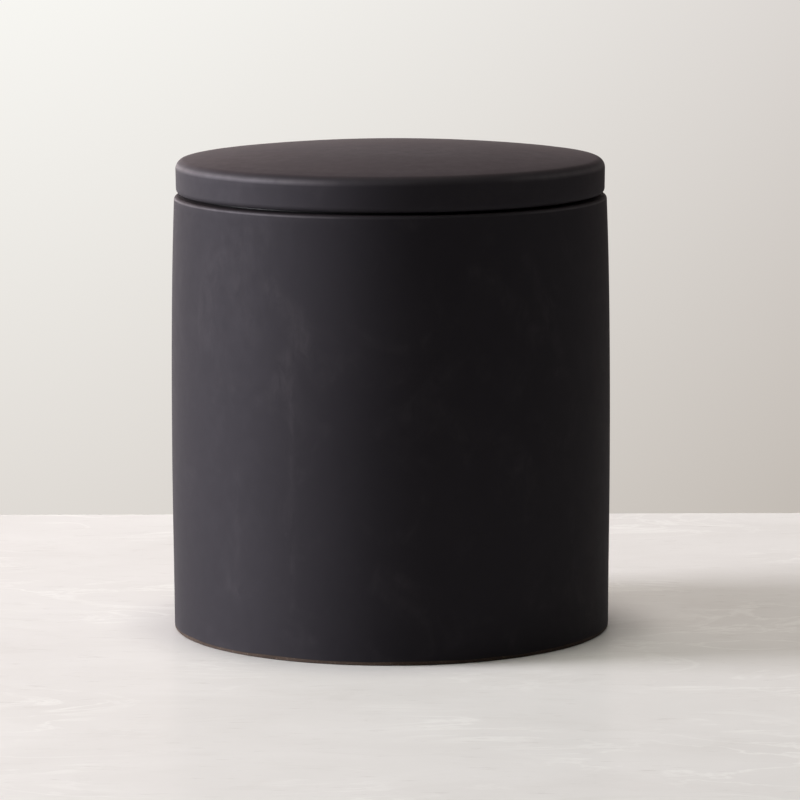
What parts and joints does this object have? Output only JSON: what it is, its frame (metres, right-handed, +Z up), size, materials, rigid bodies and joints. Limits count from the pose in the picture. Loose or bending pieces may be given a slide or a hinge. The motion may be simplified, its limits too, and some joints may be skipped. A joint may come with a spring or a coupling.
{
  "type": "sugar bowl",
  "caption": "Straight-sided round stoneware sugar bowl with a flush, shallow-domed lid that lifts off and a hidden sealing ring.",
  "frame": {"origin": "middle of the circle that the bowl stands on", "axes": "+Z up along the axis of the bowl, lid and seal; the piece is round, so +X and +Y are free, and -Y is taken as the front"},
  "size_m": [0.0902, 0.0902, 0.0994],
  "materials": {
    "bowl_glaze": "matte black glaze",
    "lid_glaze": "matte black glaze",
    "silicone": "smooth matte"
  },
  "bodies": {
    "bowl": {"bowl": "bowl_glaze"},
    "seal": {"lid_seal": "silicone"},
    "lid": {"lid": "lid_glaze"}
  },
  "joints": [
    {"name": "lid_lift", "type": "slide", "parent": "bowl", "child": "seal", "axis": [0, 0, 1], "range_m": [0, 0.12]},
    {"name": "lid_turn", "type": "hinge", "parent": "seal", "child": "lid", "pos_m": [0, 0, 0.09], "axis": [0, 0, 1], "continuous": true}
  ]
}
